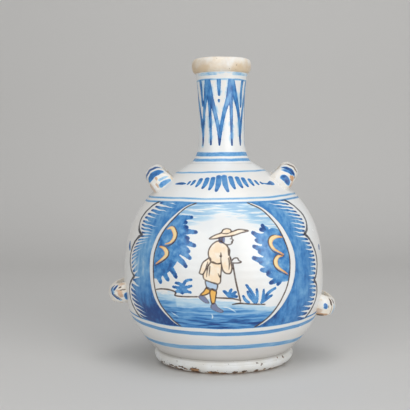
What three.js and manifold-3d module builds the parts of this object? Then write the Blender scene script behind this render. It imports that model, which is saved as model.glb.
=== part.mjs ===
// Tin-glazed earthenware bottle: a thrown belly on a luted foot ring, a tall neck with a rolled mouth,
// and four ribbed strap loops that carry a cord up each side.
// Millimetres, +Z up, origin at the centre of the foot on the table. The painted front faces -Y.
import * as THREE from "three";
import { mergeVertices } from "three/addons/utils/BufferGeometryUtils.js";
import Module from "manifold-3d";

// Foot ring
const footRadius = 57.5; // widest edge, above the rounded underside
const footHeight = 11; // table to the belly's underside
const footWidth = 12.5; // radial width of the ring, from its bore to its widest edge
const footLip = 7.6; // table to the widest edge
const standInset = 7; // standing edge, measured in from the widest edge
const boreEdge = 1.6; // rounding where the bore meets the standing face
const waistRadius = 55.2; // outside of the joint between foot and belly

// Belly
const bellyRadius = 82; // outside, at its widest
const equatorHeight = 68; // table to the widest ring
const shoulderHeight = 163; // table to the neck joint
const shoulderRadius = 26; // outside of the neck joint
const shoulderSlope = 31.4; // degrees above horizontal, where belly meets neck
const waistSlope = 43; // degrees above horizontal, where belly leaves the foot
const bellyWall = 5.5;
const floorThickness = 7;
const waistFullness = 0.52; // curve handles, as shares of the stretch that each one shapes
const lowerFullness = 0.5;
const upperFullness = 0.55;
const shoulderFullness = 0.71;

// Neck
const neckLength = 73; // neck joint to the underside of the rolled mouth
const neckNarrowHeight = 24; // neck joint to the narrowest ring
const neckRadius = 18.8; // outside, at its narrowest
const neckTopRadius = 21.4; // outside, under the rolled mouth
const neckWall = 4.6;
const neckRootFullness = 0.6;
const neckStemFullness = 0.38;
const neckFlareFullness = 0.25;

// Rolled mouth
const rollRadius = 24.3; // outside, at its widest
const rollHeight = 12;
const rollCrest = 6.6; // underside of the roll to its widest ring
const rollInset = 3.8; // roll's top edge, measured in from its widest ring
const mouthFlare = 3.4; // depth of the rounded edge inside the mouth

// Cord loops: each is a ribbed strap bent into an arch that stands across the belly's side
const strapWidth = 17; // along the belly's outline
const strapCrown = 5; // swell of the ribbed outer face above the strap's edges
const strapLining = 1.3; // swell of the inner face that the cord runs against
const strapSpan = 52; // front foot to back foot, outside
const footOverrun = 24; // degrees that the arch turns on, to carry its feet below the belly's surface
const ribCount = 3;
const ribDepth = 0.8; // groove between two ribs
const lutingGap = 0.3; // slip joint between a loop and the belly
const upperLeftDrop = 16.4; // neck joint down to the loop
const upperRightDrop = 14.5;
const lowerLeftDrop = 10.6; // widest ring of the belly down to the loop
const lowerRightDrop = 21.4;
const upperReach = 17; // how far a loop stands out from the belly
const lowerLeftReach = 14.4;
const lowerRightReach = 14.1;
const upperTilt = 50; // degrees above horizontal that a loop points
const lowerLeftTilt = -4;
const lowerRightTilt = -8;
const left = -1;
const right = 1;

// Facets
const ringSegments = 64;
const neckSegments = 40;
const curveSteps = 10;
const strapSteps = 16;
const strapSides = 20;

const radians = THREE.MathUtils.degToRad;
const point = (radius, height) => new THREE.Vector2(radius, height);

const wasm = await Module();
wasm.setup();

// Materials
const glaze = (color, roughness) => new THREE.MeshStandardMaterial({ color, roughness, metalness: 0 });
const whiteGlaze = glaze(0xe6e3dc, 0.22);
const wornGlaze = glaze(0xdccfb8, 0.4);
const paintedGlaze = glaze(0xb9c4d4, 0.25);

// A solid of revolution about Z from a profile of (radius, height) points
function turned(profile, segments) {
  return new THREE.LatheGeometry(profile, segments).rotateX(Math.PI / 2);
}

// A profile moved in by the wall's thickness, towards the axis side of its line
function movedIn(profile, wall) {
  return profile.map((here, i) => {
    const before = profile[Math.max(i - 1, 0)];
    const after = profile[Math.min(i + 1, profile.length - 1)];
    const along = after.clone().sub(before).normalize();
    return point(here.x - along.y * wall, here.y + along.x * wall);
  });
}

// The radius where a rising profile passes a height, between its two nearest points
function radiusAt(profile, height) {
  const last = profile.length - 1;
  const above = profile.findIndex((p) => p.y >= height);
  const high = Math.max(above < 0 ? last : above, 1);
  const low = high - 1;
  const share = (height - profile[low].y) / (profile[high].y - profile[low].y);
  return THREE.MathUtils.lerp(profile[low].x, profile[high].x, share);
}

// Outside of the belly, from the foot joint up to the neck joint
function bellyOutline() {
  const foot = point(waistRadius, footHeight);
  const equator = point(bellyRadius, equatorHeight);
  const joint = point(shoulderRadius, shoulderHeight);
  const out = (bellyRadius - waistRadius) * waistFullness;
  const inward = (bellyRadius - shoulderRadius) * shoulderFullness;
  const lower = new THREE.CubicBezierCurve(
    foot,
    point(foot.x + out, foot.y + out * Math.tan(radians(waistSlope))),
    point(equator.x, equator.y - (equator.y - foot.y) * lowerFullness),
    equator,
  );
  const upper = new THREE.CubicBezierCurve(
    equator,
    point(equator.x, equator.y + (joint.y - equator.y) * upperFullness),
    point(joint.x + inward, joint.y - inward * Math.tan(radians(shoulderSlope))),
    joint,
  );
  return [...lower.getPoints(curveSteps), ...upper.getPoints(curveSteps + 4).slice(1)];
}

// Outside of the neck, from the belly joint up to the rolled mouth
function neckOutline() {
  const joint = point(shoulderRadius, shoulderHeight);
  const narrow = point(neckRadius, shoulderHeight + neckNarrowHeight);
  const top = point(neckTopRadius, shoulderHeight + neckLength);
  const inward = (shoulderRadius - neckRadius) * neckRootFullness;
  const rise = top.y - narrow.y;
  const root = new THREE.CubicBezierCurve(
    joint,
    point(joint.x - inward, joint.y + inward * Math.tan(radians(shoulderSlope))),
    point(narrow.x, narrow.y - neckNarrowHeight * neckRootFullness),
    narrow,
  );
  const stem = new THREE.CubicBezierCurve(
    narrow,
    point(narrow.x, narrow.y + rise * neckStemFullness),
    point(narrow.x, top.y - rise * neckFlareFullness),
    top,
  );
  return [...root.getPoints(curveSteps - 2), ...stem.getPoints(curveSteps - 4).slice(1)];
}

const bellyLine = bellyOutline();
const neckLine = neckOutline();
const neckInside = movedIn(neckLine, neckWall);
const mouthHeight = shoulderHeight + neckLength;
const jointBore = radiusAt(neckInside, shoulderHeight);
const mouthBore = neckTopRadius - neckWall;

// Thrown belly: floor, wall and shoulder, open at the neck joint
function belly() {
  const floorTop = footHeight + floorThickness;
  const inside = movedIn(bellyLine, bellyWall);
  const wall = inside.filter(
    (p, i) => i % 2 === 0 && p.y > floorTop + bellyWall / 2 && p.y < shoulderHeight - bellyWall / 2,
  );
  return turned(
    [
      point(0, footHeight),
      ...bellyLine,
      point(jointBore, shoulderHeight),
      ...wall.reverse(),
      point(radiusAt(inside, floorTop), floorTop),
      point(0, floorTop),
    ],
    ringSegments,
  );
}

// Foot ring: a thick band, rounded in below to its standing face and hollowed above up to the belly joint
function footRing() {
  const bore = footRadius - footWidth;
  const widest = point(footRadius, footLip);
  const round = new THREE.QuadraticBezierCurve(
    point(footRadius - standInset, 0),
    point(footRadius, footLip / 4),
    widest,
  );
  const hollow = new THREE.QuadraticBezierCurve(
    widest,
    point(waistRadius, (footLip + footHeight) / 2),
    point(waistRadius, footHeight),
  );
  return turned(
    [
      point(bore, boreEdge),
      point(bore + boreEdge, 0),
      ...round.getPoints(curveSteps / 2),
      ...hollow.getPoints(curveSteps / 2).slice(1),
      point(bore, footHeight),
      point(bore, boreEdge),
    ],
    ringSegments,
  );
}

// Neck tube, luted to the belly below and closed above by the rolled mouth
function neck() {
  const inside = neckInside.filter((p) => p.y > shoulderHeight && p.y < mouthHeight);
  return turned(
    [
      point(jointBore, shoulderHeight),
      ...neckLine,
      point(mouthBore, mouthHeight),
      ...inside.reverse(),
      point(jointBore, shoulderHeight),
    ],
    neckSegments,
  );
}

// Rolled mouth: a thick rounded collar with an eased inner edge
function mouthRoll() {
  const crest = point(rollRadius, mouthHeight + rollCrest);
  const brow = point(rollRadius - rollInset, mouthHeight + rollHeight);
  const throat = point(mouthBore, mouthHeight + rollHeight - mouthFlare);
  const under = new THREE.QuadraticBezierCurve(
    point(neckTopRadius, mouthHeight),
    point(rollRadius, mouthHeight + rollCrest / 4),
    crest,
  );
  const over = new THREE.QuadraticBezierCurve(crest, point(rollRadius, brow.y), brow);
  const into = new THREE.QuadraticBezierCurve(brow, point(mouthBore, brow.y), throat);
  return turned(
    [
      point(mouthBore, mouthHeight),
      ...under.getPoints(curveSteps / 2),
      ...over.getPoints(curveSteps / 2).slice(1),
      ...into.getPoints(curveSteps / 2).slice(1),
      point(mouthBore, mouthHeight),
    ],
    neckSegments,
  );
}

// Half-round arch that a strap follows: X stands out from the belly, Y runs from front to back
class StrapArch extends THREE.Curve {
  constructor(rise, halfSpan) {
    super();
    this.rise = rise;
    this.halfSpan = halfSpan;
  }

  getPoint(share, target = new THREE.Vector3()) {
    const turn = (share - 0.5) * (Math.PI + 2 * radians(footOverrun));
    return target.set(this.rise * Math.cos(turn), -this.halfSpan * Math.sin(turn), 0);
  }
}

// Section of a strap: an oval, flatter inside, with ribs along its outer face
function strapSection() {
  const outline = [];
  for (let i = 0; i < strapSides; i++) {
    const turn = (i / strapSides) * 2 * Math.PI;
    const across = Math.cos(turn);
    const through = Math.sin(turn);
    const groove = (ribDepth / 2) * (1 + Math.cos(ribCount * Math.PI * (across + 1)));
    const swell = through > 0 ? strapCrown - groove : strapLining;
    outline.push(point((across * strapWidth) / 2, through * swell));
  }
  return new THREE.Shape(outline);
}

// A closed geometry as a solid that can be cut
function solid(geometry) {
  const bare = geometry.clone();
  bare.deleteAttribute("normal");
  bare.deleteAttribute("uv");
  const merged = mergeVertices(bare);
  return new wasm.Manifold(
    new wasm.Mesh({
      numProp: 3,
      vertProperties: merged.attributes.position.array,
      triVerts: new Uint32Array(merged.index.array),
    }),
  );
}

// A cut solid back as a geometry
function geometryOf(made) {
  const { vertProperties, triVerts } = made.getMesh();
  const geometry = new THREE.BufferGeometry();
  geometry.setAttribute("position", new THREE.BufferAttribute(vertProperties, 3));
  geometry.setIndex(new THREE.BufferAttribute(triVerts, 1));
  geometry.computeVertexNormals();
  return geometry;
}

// The belly as a full body, swollen by the luting gap, that trims the feet of the loops
function bellyCore() {
  const skin = movedIn(bellyLine, -lutingGap);
  const first = skin[0];
  const last = skin[skin.length - 1];
  return turned([point(0, first.y), ...skin, point(0, last.y)], ringSegments);
}

// One strap loop, placed on the belly's side with its feet trimmed to the belly's surface
function cordLoop(name, side, height, tilt, reach) {
  const arch = new StrapArch(reach - strapCrown, strapSpan / 2 - strapCrown);
  const strap = new THREE.ExtrudeGeometry(strapSection(), {
    steps: strapSteps,
    extrudePath: arch,
    bevelEnabled: false,
  });
  const mesh = new THREE.Mesh(strap, paintedGlaze);
  mesh.name = name;
  mesh.position.set(side * radiusAt(bellyLine, height), 0, height);
  mesh.rotation.set(0, -radians(tilt), side < 0 ? Math.PI : 0, "ZYX");
  mesh.updateMatrix();
  const core = bellyCore().applyMatrix4(mesh.matrix.clone().invert());
  mesh.geometry = geometryOf(solid(strap).subtract(solid(core)));
  return mesh;
}

function piece(name, geometry, material) {
  const mesh = new THREE.Mesh(geometry, material);
  mesh.name = name;
  return mesh;
}

const bottle = new THREE.Group();
bottle.add(
  piece("foot_ring", footRing(), wornGlaze),
  piece("belly", belly(), whiteGlaze),
  piece("neck", neck(), whiteGlaze),
  piece("mouth_roll", mouthRoll(), wornGlaze),
  cordLoop("upper_left_loop", left, shoulderHeight - upperLeftDrop, upperTilt, upperReach),
  cordLoop("upper_right_loop", right, shoulderHeight - upperRightDrop, upperTilt, upperReach),
  cordLoop("lower_left_loop", left, equatorHeight - lowerLeftDrop, lowerLeftTilt, lowerLeftReach),
  cordLoop("lower_right_loop", right, equatorHeight - lowerRightDrop, lowerRightTilt, lowerRightReach),
);

export default bottle;
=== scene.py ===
import math

import bpy
import numpy as np
from mathutils import Matrix, Vector


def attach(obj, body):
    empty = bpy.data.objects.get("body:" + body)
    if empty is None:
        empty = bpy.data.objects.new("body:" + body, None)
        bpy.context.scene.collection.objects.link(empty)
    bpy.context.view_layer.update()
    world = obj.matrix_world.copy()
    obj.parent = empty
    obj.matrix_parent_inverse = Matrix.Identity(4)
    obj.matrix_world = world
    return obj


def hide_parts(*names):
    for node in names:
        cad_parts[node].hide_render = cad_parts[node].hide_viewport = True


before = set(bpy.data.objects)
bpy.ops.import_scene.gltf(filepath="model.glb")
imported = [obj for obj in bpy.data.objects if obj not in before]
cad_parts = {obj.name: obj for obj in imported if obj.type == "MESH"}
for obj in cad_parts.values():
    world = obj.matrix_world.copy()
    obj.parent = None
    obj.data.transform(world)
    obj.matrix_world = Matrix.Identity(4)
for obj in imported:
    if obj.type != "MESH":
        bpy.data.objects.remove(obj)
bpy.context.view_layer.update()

mm = 0.001  # sizes below are millimetres, the scene is in metres
print("frame loaded with", len(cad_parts), "nodes")


# Camera: stands in front of the bottle, a little above its middle, and looks slightly down

cameraSpot = {
    "distance": 680.0,  # from the bottle's axis
    "height": 165.0,
    "lens": 72.2,  # on a 36 mm sensor
    "down": 3.078,  # degrees
    "aside": 1.253,
    "roll": -0.29,
}


def addCamera(spot):
    data = bpy.data.cameras.new("camera")
    data.lens = spot["lens"]
    data.sensor_width = 36
    camera = bpy.data.objects.new("camera", data)
    bpy.context.scene.collection.objects.link(camera)
    turn = Matrix.Rotation(math.radians(spot["aside"]), 4, "Z")
    turn = turn @ Matrix.Rotation(math.radians(90 - spot["down"]), 4, "X")
    turn = turn @ Matrix.Rotation(math.radians(spot["roll"]), 4, "Z")
    place = Matrix.Translation((0, -spot["distance"] * mm, spot["height"] * mm))
    camera.matrix_world = place @ turn
    bpy.context.scene.camera = camera


addCamera(cameraSpot)
print("camera placed")


# Shape tools

def bend(count, *controls):
    # Bezier line: neighbouring control points are mixed by t, again and again, until one is left
    t = np.linspace(0, 1, count)[:, None, None]
    points = np.repeat(np.array(controls, float)[None], count, 0)
    while points.shape[1] > 1:
        points = points[:, :-1] * (1 - t) + points[:, 1:] * t
    return points[:, 0]


def joinLines(*lines):
    # lines end to end, each without its first point where it repeats the last one
    return np.vstack([lines[0]] + [line[1:] for line in lines[1:]])


def stepAt(spacing, place):
    # a spacing is one number, or a function of the place
    return spacing(place) if callable(spacing) else spacing


def graded(line, spacing):
    # points along a dense line of (radius, height), a spacing in millimetres apart that may follow the height
    leap = np.hypot(*np.diff(line, axis=0).T)
    middle = (line[1:, 1] + line[:-1, 1]) / 2
    run = np.concatenate([[0], np.cumsum(leap / stepAt(spacing, middle))])
    at = np.linspace(0, run[-1], int(round(run[-1])) + 1)
    return np.stack([np.interp(at, run, line[:, 0]), np.interp(at, run, line[:, 1])], 1)


def anglesRound(radius, spacing):
    # angles round the axis, front at 0 and right side positive, a spacing apart that may follow the angle
    dense = np.linspace(-math.pi, math.pi, 4001)
    middle = (dense[1:] + dense[:-1]) / 2
    run = np.concatenate([[0], np.cumsum(np.diff(dense) * radius / stepAt(spacing, middle))])
    count = int(round(run[-1]))
    return np.interp(np.arange(count) * run[-1] / count, run, dense)


def smooth(low, high, value):
    # 0 below low, 1 above high, eased between them
    t = np.clip((value - low) / (high - low), 0, 1)
    return t * t * (3 - 2 * t)


neckLean = {"height": (130, 160, 248), "shift": (0, -1.0, -0.8)}  # the neck stands a little left of the foot


def turned(radius, height, angles):
    # ring surface: x = r sin a, y = -r cos a, leaning aside with height above the shoulder
    x = radius * np.sin(angles) + np.interp(height, neckLean["height"], neckLean["shift"])
    return np.stack([x, -radius * np.cos(angles), height + 0 * x], -1)


def ringMesh(name, points, closedRows=False, poles=()):
    # rows by columns of points, columns closed on themselves; a pole closes the first or last row
    rows, columns = points.shape[:2]
    index = np.arange(rows * columns).reshape(rows, columns)
    low = index if closedRows else index[:-1]
    high = np.roll(index, -1, 0) if closedRows else index[1:]
    faces = np.stack([low, np.roll(low, -1, 1), np.roll(high, -1, 1), high], -1).reshape(-1, 4).tolist()
    corners = points.reshape(-1, 3)
    for end, pole in zip((0, -1), poles):
        tip = np.full(columns, len(corners))
        corners = np.vstack([corners, pole])
        ring = index[end]
        ahead = np.roll(ring, -1)
        fan = (tip, ahead, ring) if end == 0 else (ring, ahead, tip)
        faces += np.stack(fan, -1).tolist()
    mesh = bpy.data.meshes.new(name)
    mesh.from_pydata((corners * mm).tolist(), [], faces)
    mesh.polygons.foreach_set("use_smooth", np.ones(len(faces), bool))
    piece = bpy.data.objects.new(name, mesh)
    bpy.context.scene.collection.objects.link(piece)
    return piece


def keepField(piece, name, values, start, rest):
    # a number for each point, from the painted rows' first one on; the others get the rest value
    full = np.full(len(piece.data.vertices), rest, np.float32)
    full[start:start + values.size] = values.ravel()
    field = piece.data.attributes.new(name, "FLOAT", "POINT")
    field.data.foreach_set("value", full)


def dress(piece, node, material):
    piece.data.materials.append(material)
    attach(piece, "root")
    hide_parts(node)


# Brush tools: a field holds each point's distance in millimetres to what is painted, below 0 inside it

farAway = 9.0


def curveThrough(points, perSpan, closed=False):
    # Catmull-Rom curve through the points
    points = np.array(points, float)
    if closed:
        ring = np.vstack([points[-1:], points, points[:2]])
    else:
        ring = np.vstack([points[:1], points, points[-1:]])
    a, b, c, d = (ring[k:len(ring) - 3 + k, None] for k in range(4))
    t = (np.arange(perSpan) / perSpan)[None, :, None]
    spans = b + (c - a) * t / 2 + (2 * a - 5 * b + 4 * c - d) * t ** 2 / 2
    spans = spans + (3 * b - a - 3 * c + d) * t ** 3 / 2
    last = points[:1] if closed else points[-1:]
    return np.vstack([spans.reshape(-1, 2), last])


class Canvas:
    # points of one piece in painting coordinates, with how much a step along each is stretched there
    def __init__(self, across, up, acrossScale=1.0, upScale=1.0):
        self.across = across.ravel()
        self.up = up.ravel()
        self.acrossScale = np.broadcast_to(acrossScale, across.shape).ravel()
        self.upScale = np.broadcast_to(upScale, up.shape).ravel()

    def blank(self, value=farAway):
        return np.full(self.across.size, value)

    def near(self, line, reach):
        low = line.min(0) - reach
        high = line.max(0) + reach
        inside = (self.across > low[0]) & (self.across < high[0])
        return np.flatnonzero(inside & (self.up > low[1]) & (self.up < high[1]))

    def spanGaps(self, near, line):
        # for each span of the line: distance to it, and how far along it the nearest point lies
        stretch = self.acrossScale[near], self.upScale[near]
        for p, q in zip(line[:-1], line[1:]):
            way = [(q[k] - p[k]) * stretch[k] for k in (0, 1)]
            off = [(self.across[near] - p[0]) * stretch[0], (self.up[near] - p[1]) * stretch[1]]
            size = np.maximum(way[0] ** 2 + way[1] ** 2, 1e-9)
            t = np.clip((off[0] * way[0] + off[1] * way[1]) / size, 0, 1)
            yield np.hypot(off[0] - t * way[0], off[1] - t * way[1]), t

    def stroke(self, field, points, widths, perSpan=5):
        # brush line whose width runs through the given widths
        line = curveThrough(points, perSpan)
        share = np.linspace(0, 1, len(line))
        half = np.interp(share, np.linspace(0, 1, len(widths)), widths) / 2
        near = self.near(line, farAway * 1.5)
        for k, (gap, t) in enumerate(self.spanGaps(near, line)):
            field[near] = np.minimum(field[near], gap - half[k] - (half[k + 1] - half[k]) * t)

    def patch(self, field, points, perSpan=4):
        # filled outline: distance to its edge, below 0 inside
        line = curveThrough(points, perSpan, closed=True)
        near = self.near(line, farAway * 1.5)
        across, up = self.across[near], self.up[near]
        inside = np.zeros(near.size, bool)
        edge = np.full(near.size, farAway)
        for (gap, _), p, q in zip(self.spanGaps(near, line), line[:-1], line[1:]):
            edge = np.minimum(edge, gap)
            if p[1] != q[1]:
                crossing = p[0] + (q[0] - p[0]) * (up - p[1]) / (q[1] - p[1])
                inside ^= ((p[1] > up) != (q[1] > up)) & (across < crossing)
        field[near] = np.minimum(field[near], np.where(inside, -edge, edge))

    def pool(self, field, spot, radius, strength=1.0):
        # soft round spot
        away = np.hypot((self.across - spot[0]) * self.acrossScale, (self.up - spot[1]) * self.upScale)
        np.maximum(field, strength * np.exp(-(away / radius) ** 2), out=field)


# Shader tools

def tint(code):
    # sRGB colour code as linear red, green, blue, alpha
    parts = [int(code[k:k + 2], 16) / 255 for k in (0, 2, 4)]
    return [p / 12.92 if p <= 0.04045 else ((p + 0.055) / 1.055) ** 2.4 for p in parts] + [1.0]


def paired(operation):
    # a Math node's operation as an operator and as its reflected form
    def plain(self, other):
        return self.math(operation, self, other)

    def reflected(self, other):
        return self.math(operation, other, self)

    return plain, reflected


class Wire:
    # a node's output; expressions on it add Math nodes
    def __init__(self, socket):
        self.socket = socket

    @staticmethod
    def node(tree, kind, settings=None, inputs=None, output=0):
        made = tree.nodes.new("ShaderNode" + kind)
        for key, value in (settings or {}).items():
            if key == "stops":
                ramp = made.color_ramp.elements
                while len(ramp) < len(value):
                    ramp.new(0.5)
                for stop, (spot, colour) in zip(ramp, value):
                    stop.position = spot
                    stop.color = colour
            else:
                setattr(made, key, value)
        for key, value in (inputs or {}).items():
            if isinstance(value, Wire):
                tree.links.new(value.socket, made.inputs[key])
            else:
                made.inputs[key].default_value = value
        return None if output is None else Wire(made.outputs[output])

    def math(self, operation, first, second=0.0):
        inputs = {0: first, 1: second}
        return Wire.node(self.socket.id_data, "Math", {"operation": operation}, inputs)

    __add__, __radd__ = paired("ADD")
    __sub__, __rsub__ = paired("SUBTRACT")
    __mul__, __rmul__ = paired("MULTIPLY")
    __truediv__, __rtruediv__ = paired("DIVIDE")

    def __abs__(self):
        return self.math("ABSOLUTE", self)

    def above(self, other):
        return self.math("MAXIMUM", self, other)

    def wrapped(self):
        return self.math("FRACT", self)

    def whole(self):
        return self.math("FLOOR", self)

    def eased(self, low, high):
        # 0 below low, 1 above high
        settings = {"interpolation_type": "SMOOTHSTEP"}
        inputs = {"Value": self, "From Min": low, "From Max": high}
        return Wire.node(self.socket.id_data, "MapRange", settings, inputs)

    def covered(self, soft=0.2):
        # 1 inside a painted field, 0 outside it
        return 1 - self.eased(-soft, soft)


class Finish:
    # one material: its tree, its places on the piece and its textures
    def __init__(self, name):
        self.material = bpy.data.materials.new(name)
        self.material.use_nodes = True
        self.tree = self.material.node_tree
        self.tree.nodes.clear()
        self.place = Wire.node(self.tree, "TexCoord", output="Object")
        self.aside, self.deep, self.height = (
            Wire.node(self.tree, "SeparateXYZ", None, {"Vector": self.place}, axis) * 1000 for axis in "XYZ"
        )

    def field(self, name):
        return Wire.node(self.tree, "Attribute", {"attribute_name": name}, None, "Fac")

    def noise(self, size, detail=3.0, flat=1.0):
        # cloudy value from 0 to 1, with features of that size in millimetres; flat squeezes them in height
        place = Wire.node(self.tree, "Mapping", None, {"Vector": self.place, "Scale": (1, 1, flat)})
        inputs = {"Vector": place, "Scale": 1 / (size * mm), "Detail": detail, "Roughness": 0.55}
        return Wire.node(self.tree, "TexNoise", None, inputs)

    def specks(self, spacing, radius, share):
        # small round spots, one in each cell of that spacing, kept in a share of the cells
        inputs = {"Vector": self.place, "Scale": 1 / (spacing * mm)}
        gap = Wire.node(self.tree, "TexVoronoi", None, inputs, "Distance")
        cell = Wire.node(self.tree, "TexVoronoi", None, inputs, "Color")
        lot = Wire.node(self.tree, "SeparateColor", None, {"Color": cell}, 0)
        size = lot * (radius / spacing / share)
        return (gap - size).covered(0.04) * (share - lot).eased(0, 0.01)

    def mix(self, share, first, second):
        return Wire.node(self.tree, "Mix", {"data_type": "RGBA"}, {0: share, 6: first, 7: second}, 2)

    def ramp(self, value, stops):
        return Wire.node(self.tree, "ValToRGB", {"stops": stops}, {"Fac": value})

    def close(self, colour, roughness, relief, depth):
        # glossy glaze; the relief runs from 0 to 1 and stands for that depth in millimetres
        bump = {"Height": relief, "Strength": 1.0, "Distance": depth * mm}
        normal = Wire.node(self.tree, "Bump", None, bump)
        inputs = {"Base Color": colour, "Roughness": roughness, "Normal": normal, "IOR": 1.48}
        shader = Wire.node(self.tree, "BsdfPrincipled", None, inputs)
        Wire.node(self.tree, "OutputMaterial", None, {"Surface": shader}, None)
        return self.material


glazeColours = {
    "white": tint("EFF1F1"),
    "warm": tint("EDEBE7"),
    "cool": tint("E4E9EC"),
    "low": tint("D9D4CF"),  # painted shade: greyer glaze towards the foot
    "creaseShade": tint("A9A49D"),  # painted shade in the hollow above the foot
    "cobalt": [
        (0.0, tint("E6EFF4")),
        (0.22, tint("B6D6EA")),
        (0.48, tint("73ABD9")),
        (0.72, tint("4285C4")),
        (1.0, tint("1F4888")),
    ],
    "brown": tint("4A372F"),
    "outline": tint("353740"),
    "ochre": tint("EBA24A"),
    "ochre pale": tint("FBE0A8"),
    "peach": tint("FCE5C6"),
    "peach pale": tint("FEF2E0"),
    "stocking": tint("F3BC62"),
    "slate": tint("7C87A8"),
    "pale blue": tint("B9D0E8"),
    "clay": tint("CB9A6E"),
    "clay dark": tint("5A4434"),
    "cream": tint("F3EADB"),
    "foot": tint("E6E5E0"),
    "tan": tint("DEC8A9"),
}


def drifting(finish, size, first, second):
    # two of the glaze's colours in clouds of that size
    return finish.mix(finish.noise(size, 3).eased(0.35, 0.7), glazeColours[first], glazeColours[second])


def bareGlaze(finish):
    # white tin glaze, drifting between warm and cool, with painted shade making it greyer low down and darker
    # in the hollow above the foot, and a few pinholes
    colour = drifting(finish, 45, "white", "warm")
    colour = finish.mix(finish.noise(30, 4).eased(0.5, 0.8) * 0.6, colour, glazeColours["cool"])
    # painted shade: greyer towards the foot
    colour = finish.mix((36 - finish.height).eased(0, 20) * 0.68, colour, glazeColours["low"])
    # painted shade in the hollow above the foot
    colour = finish.mix((17 - finish.height).eased(0, 6) * 0.55, colour, glazeColours["creaseShade"])
    return finish.mix(finish.specks(9, 0.5, 0.16) * 0.55, colour, glazeColours["clay dark"])


def glazeRelief(finish):
    # orange peel and slow waves of the glaze
    return finish.noise(2.2, 2) * 0.25 + finish.noise(14, 2)


def closeSmooth(finish, colour):
    # the glossy skin of belly and neck, with slightly duller clouds
    return finish.close(colour, 0.16 + finish.noise(8, 3) * 0.16, glazeRelief(finish), 0.12)


def cobaltOver(finish, colour, thickness):
    # blue pigment over a colour: thin is pale, thick is dark
    blue = finish.ramp(thickness, glazeColours["cobalt"])
    return finish.mix(thickness.eased(0.02, 0.16), colour, blue)


# Belly: thrown round body; rows run from the underside up the outside and down the inside

bellyShape = {
    "footHeight": 11.0,
    "waistRadius": 55.2,
    "radius": 82.0,
    "equator": 68.0,
    "shoulderRadius": 26.0,
    "shoulderHeight": 163.0,
    "waistSlope": 43.0,
    "shoulderSlope": 31.4,
    "waistFullness": 0.52,
    "lowerFullness": 0.5,
    "upperFullness": 0.55,
    "shoulderFullness": 0.71,
    "wall": 5.5,
    "floor": 18.0,
    "jointBore": 19.5,
    "poleRadius": 6.0,  # innermost ring of the floor and the underside
    "corner": (4.0, 3.0),  # the inside's rounding above the floor: run and rise
    "insideRows": 9,
    "uneven": (30.0, 140.0),  # heights between which the dents are full
    "dent": 0.6,  # deepest hollow in the thrown wall, front and back
    "ripple": 0.03,  # finger rings of throwing
    "bulge": (1.3, 148.0, 10.0),  # fuller right shoulder: how much, its height and half its height
    # grid: spacing at these heights, finest over the picture, and at these degrees from the front
    "rows": ([11, 38, 41, 106, 112, 132, 140, 163], [1.7, 1.5, 0.66, 0.66, 0.8, 0.9, 1.2, 1.4]),
    "columns": ([0, 21, 24, 52, 56, 74, 80, 180], [0.6, 0.6, 0.9, 0.9, 1.4, 1.4, 1.7, 1.7]),
}


def bellyLine(shape):
    # two Bezier arcs that meet upright at the equator, set off at a slope from the waist and from the joint
    foot = (shape["waistRadius"], shape["footHeight"])
    equator = (shape["radius"], shape["equator"])
    joint = (shape["shoulderRadius"], shape["shoulderHeight"])
    out = (equator[0] - foot[0]) * shape["waistFullness"]
    inward = (equator[0] - joint[0]) * shape["shoulderFullness"]
    outRise = out * math.tan(math.radians(shape["waistSlope"]))
    inDrop = inward * math.tan(math.radians(shape["shoulderSlope"]))
    belowEquator = equator[1] - (equator[1] - foot[1]) * shape["lowerFullness"]
    aboveEquator = equator[1] + (joint[1] - equator[1]) * shape["upperFullness"]
    lower = bend(400, foot, (foot[0] + out, foot[1] + outRise), (equator[0], belowEquator), equator)
    upper = bend(600, equator, (equator[0], aboveEquator), (joint[0] + inward, joint[1] - inDrop), joint)
    return joinLines(lower, upper)


def rowSpacing(height):
    return np.interp(height, *bellyShape["rows"])


def columnSpacing(angle):
    return np.interp(np.degrees(np.abs(angle)), *bellyShape["columns"])


def insideLine(shape, outside):
    # the outside moved in by the wall, from the joint down to the floor
    along = np.gradient(outside, axis=0)
    along /= np.hypot(*along.T)[:, None]
    inner = outside + np.stack([-along[:, 1], along[:, 0]], 1) * shape["wall"]
    run, rise = shape["corner"]
    inner = inner[(inner[:, 1] > shape["floor"] + rise) & (inner[:, 0] > shape["jointBore"])][::-1]
    inner = inner[np.linspace(0, len(inner) - 1, shape["insideRows"]).astype(int)]
    joint = (shape["jointBore"], shape["shoulderHeight"])
    corner = (inner[-1, 0] - run, shape["floor"])
    middle = (shape["poleRadius"], shape["floor"])
    return np.vstack([joint, inner, corner, middle])


def addBelly(shape):
    # the line turned round the axis, less two slow waves of dents and the finger rings, plus the bulge
    outside = graded(bellyLine(shape), rowSpacing)
    angles = anglesRound(shape["radius"], columnSpacing)
    height = outside[:, 1:]
    low, high = shape["uneven"]
    body = smooth(shape["footHeight"], low, height) * (1 - smooth(high, shape["shoulderHeight"], height))
    wave = np.sin(2 * angles + height / 47 + 0.6) + np.sin(3 * angles - height / 31 + 2.1)
    dents = shape["dent"] * (2 + wave) / 4 * np.cos(angles) ** 2
    dents = dents + shape["ripple"] * (1 + np.sin(height * 1.1 + angles))
    swell, swellHeight, swellHalf = shape["bulge"]
    swelled = swell * np.exp(-((height - swellHeight) / swellHalf) ** 2) * np.clip(np.sin(angles), 0, 1) ** 2
    base = shape["footHeight"]
    under = bend(4, (shape["poleRadius"], base), (shape["waistRadius"], base))[:-1]
    inside = insideLine(shape, outside)
    points = np.vstack([
        turned(under[:, :1], under[:, 1:], angles),
        turned(outside[:, :1] - dents * body + swelled, height, angles),
        turned(inside[:, :1], inside[:, 1:], angles),
    ])
    piece = ringMesh("belly_body", points, poles=((0, 0, base), (0, 0, shape["floor"])))
    return piece, outside, angles, len(under) * len(angles)


belly, bellyOutside, bellyAngles, bellyStart = addBelly(bellyShape)
print("belly made with", len(belly.data.polygons), "faces")


# Painting on the belly, in millimetres: across along the equator from the middle of the front, and height

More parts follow.
